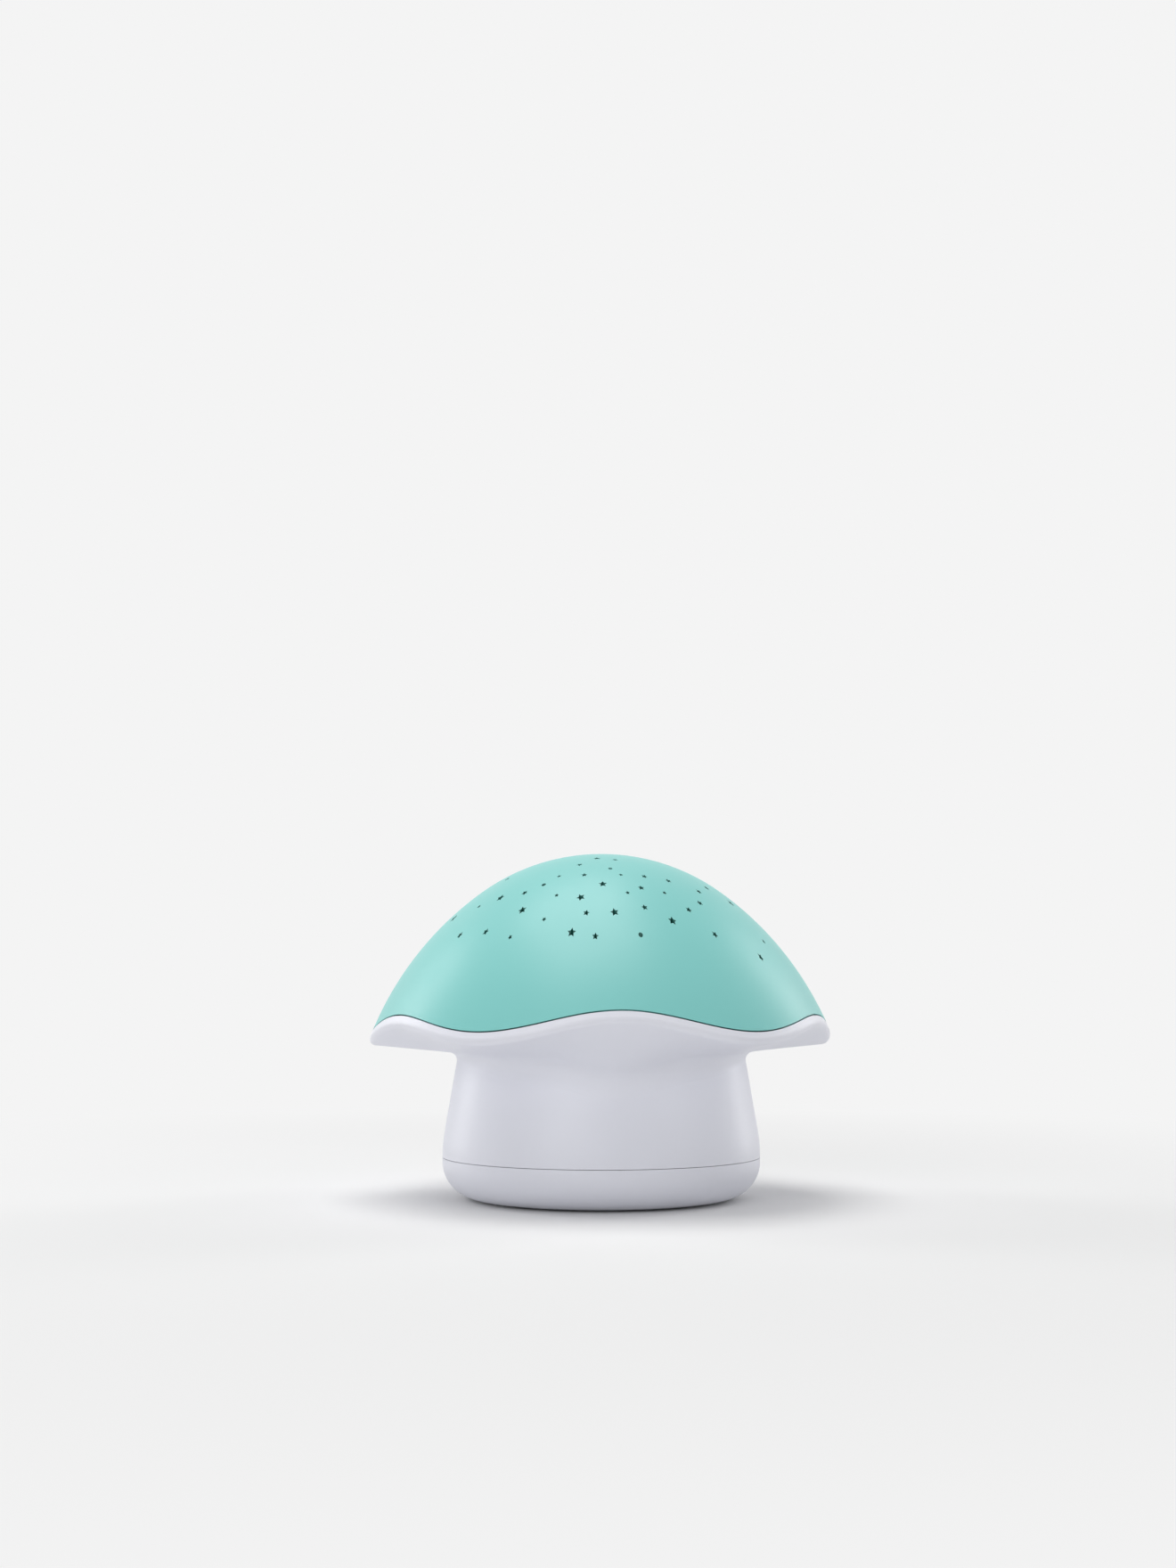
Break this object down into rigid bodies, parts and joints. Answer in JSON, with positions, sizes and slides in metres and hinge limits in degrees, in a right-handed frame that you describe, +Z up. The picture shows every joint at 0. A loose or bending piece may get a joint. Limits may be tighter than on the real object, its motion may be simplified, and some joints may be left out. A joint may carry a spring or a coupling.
{
  "type": "star night light projector",
  "caption": "Battery star projector night light shaped like a mushroom: perforated domed cap, wavy brim and hollow stem.",
  "frame": {"origin": "centre of the footprint on the floor, under the rubber pads", "axes": "+Z up along the stem; -Y is the front, with a crest of the brim; +Y is the back, with the two buttons"},
  "size_m": [0.182, 0.1742, 0.1359],
  "materials": {
    "cap_mint": "satin moulded polypropylene, mint green",
    "body_white": "fine satin moulded plastic, cool white",
    "base_white": "fine satin moulded plastic, cool white",
    "door_white": "fine satin moulded plastic, cool white",
    "screw_steel": "zinc plated",
    "pad_rubber": "soft grey elastomer",
    "deck_black": "matt black plastic",
    "pedestal_white": "white plastic",
    "circuit_board": "green solder mask",
    "lamp_clear": "clear epoxy",
    "chip_black": "moulded black epoxy",
    "switch_black": "black nylon",
    "button_mint": "satin moulded plastic, mint green",
    "plunger_white": "white acetal",
    "cell_wrap": "plain printed sleeve with a bare steel nub",
    "contact_nickel": "nickel plated spring steel",
    "lead_insulation": "PVC insulation"
  },
  "bodies": {
    "projector": {"star_cap": "cap_mint", "stem_housing": "body_white", "base_tray": "base_white", "foot_pads": "pad_rubber", "housing_screws": "screw_steel", "light_deck": "deck_black", "deck_screws": "screw_steel", "led_pedestal": "pedestal_white", "led_board": "circuit_board", "led_board_screws": "screw_steel", "leds": "lamp_clear", "main_board": "circuit_board", "board_screws": "screw_steel", "board_chips": "chip_black", "tact_switches": "switch_black", "battery_cells": "cell_wrap", "contact_plates": "contact_nickel", "contact_springs": "contact_nickel", "led_leads": "lead_insulation", "battery_leads": "lead_insulation"},
    "battery_door": {"battery_door": "door_white", "door_screw": "screw_steel"},
    "power_button": {"power_button": "button_mint", "power_plunger": "plunger_white"},
    "colour_button": {"colour_button": "button_mint", "colour_plunger": "plunger_white"}
  },
  "joints": [
    {"name": "power_button_press", "type": "slide", "parent": "projector", "child": "power_button", "axis": [0, -1, 0], "range_m": [0, 0.0012], "stiffness_N_per_m": 1500},
    {"name": "colour_button_press", "type": "slide", "parent": "projector", "child": "colour_button", "axis": [0, -1, 0], "range_m": [0, 0.0012], "stiffness_N_per_m": 1500},
    {"name": "battery_door_hinge", "type": "hinge", "parent": "projector", "child": "battery_door", "pos_m": [0, -0.0293, 0.0007], "axis": [-1, 0, 0], "range_deg": [0, 75]}
  ]
}
